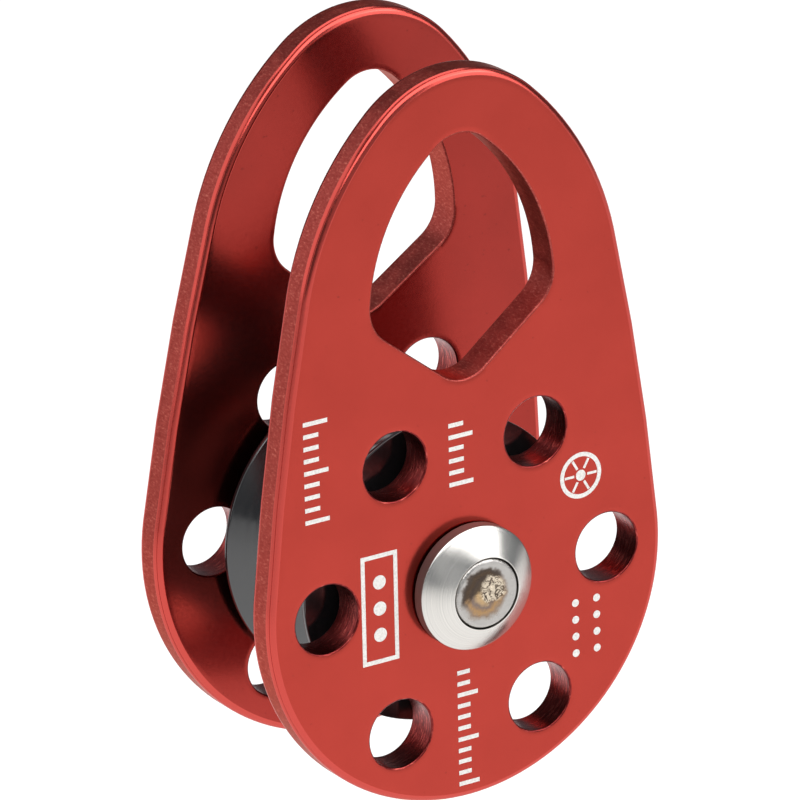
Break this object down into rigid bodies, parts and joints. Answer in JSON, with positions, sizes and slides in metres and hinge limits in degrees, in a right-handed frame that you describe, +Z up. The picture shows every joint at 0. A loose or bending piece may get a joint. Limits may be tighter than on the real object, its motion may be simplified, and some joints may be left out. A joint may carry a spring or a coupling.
{
  "type": "rope pulley",
  "caption": "Small single rope pulley: two swinging egg-shaped cheeks with karabiner eyes, a grooved sheave on sealed ball bearings and an axle with domed caps.",
  "frame": {"origin": "crown of the front cheek's karabiner eye, halfway between the cheeks, where the pulley hangs", "axes": "+Z up along the front cheek, from the axle to the eye. +Y along the axle, from the front cheek to the rear one. +X to the right, seen from the front."},
  "size_m": [0.056, 0.039, 0.0932],
  "materials": {
    "red_anodised": "satin red anodised",
    "black_anodised": "turned, hard anodised black",
    "cap_steel": "fine turned stainless steel",
    "pin_steel": "turned stainless steel, with riveting marks on its ends",
    "bearing_steel": "ground and polished",
    "cage_nylon": "moulded",
    "seal_rubber": "moulded"
  },
  "bodies": {
    "front_cheek": {"front_cheek": "red_anodised"},
    "axle": {"axle_pin": "pin_steel", "axle_sleeve": "pin_steel", "front_axle_cap": "cap_steel", "rear_axle_cap": "cap_steel", "front_spacer": "pin_steel", "rear_spacer": "pin_steel", "bearing_spacer": "pin_steel", "front_bearing_inner_ring": "bearing_steel", "rear_bearing_inner_ring": "bearing_steel"},
    "rear_cheek": {"rear_cheek": "red_anodised"},
    "sheave": {"sheave": "black_anodised", "front_bearing_outer_ring": "bearing_steel", "front_bearing_outer_seal": "seal_rubber", "front_bearing_inner_seal": "seal_rubber", "rear_bearing_outer_ring": "bearing_steel", "rear_bearing_outer_seal": "seal_rubber", "rear_bearing_inner_seal": "seal_rubber"},
    "front_balls": {"front_bearing_cage": "cage_nylon", "front_ball_01": "bearing_steel", "front_ball_02": "bearing_steel", "front_ball_03": "bearing_steel", "front_ball_04": "bearing_steel", "front_ball_05": "bearing_steel", "front_ball_06": "bearing_steel", "front_ball_07": "bearing_steel", "front_ball_08": "bearing_steel", "front_ball_09": "bearing_steel", "front_ball_10": "bearing_steel", "front_ball_11": "bearing_steel", "front_ball_12": "bearing_steel"},
    "rear_balls": {"rear_bearing_cage": "cage_nylon", "rear_ball_01": "bearing_steel", "rear_ball_02": "bearing_steel", "rear_ball_03": "bearing_steel", "rear_ball_04": "bearing_steel", "rear_ball_05": "bearing_steel", "rear_ball_06": "bearing_steel", "rear_ball_07": "bearing_steel", "rear_ball_08": "bearing_steel", "rear_ball_09": "bearing_steel", "rear_ball_10": "bearing_steel", "rear_ball_11": "bearing_steel", "rear_ball_12": "bearing_steel"}
  },
  "joints": [
    {"name": "axle_swing", "type": "hinge", "parent": "front_cheek", "child": "axle", "pos_m": [0, 0, -0.05738], "axis": [0, 1, 0], "continuous": true},
    {"name": "rear_cheek_swing", "type": "hinge", "parent": "axle", "child": "rear_cheek", "pos_m": [0, 0, -0.05738], "axis": [0, 1, 0], "continuous": true},
    {"name": "sheave_spin", "type": "hinge", "parent": "axle", "child": "sheave", "pos_m": [0, 0, -0.05738], "axis": [0, 1, 0], "continuous": true},
    {"name": "front_balls_spin", "type": "hinge", "parent": "axle", "child": "front_balls", "pos_m": [0, 0, -0.05738], "axis": [0, 1, 0], "continuous": true},
    {"name": "rear_balls_spin", "type": "hinge", "parent": "axle", "child": "rear_balls", "pos_m": [0, 0, -0.05738], "axis": [0, 1, 0], "continuous": true}
  ],
  "couplings": [
    {"joint": "front_balls_spin", "follows": "sheave_spin", "ratio": 0.5727},
    {"joint": "rear_balls_spin", "follows": "sheave_spin", "ratio": 0.5727}
  ]
}
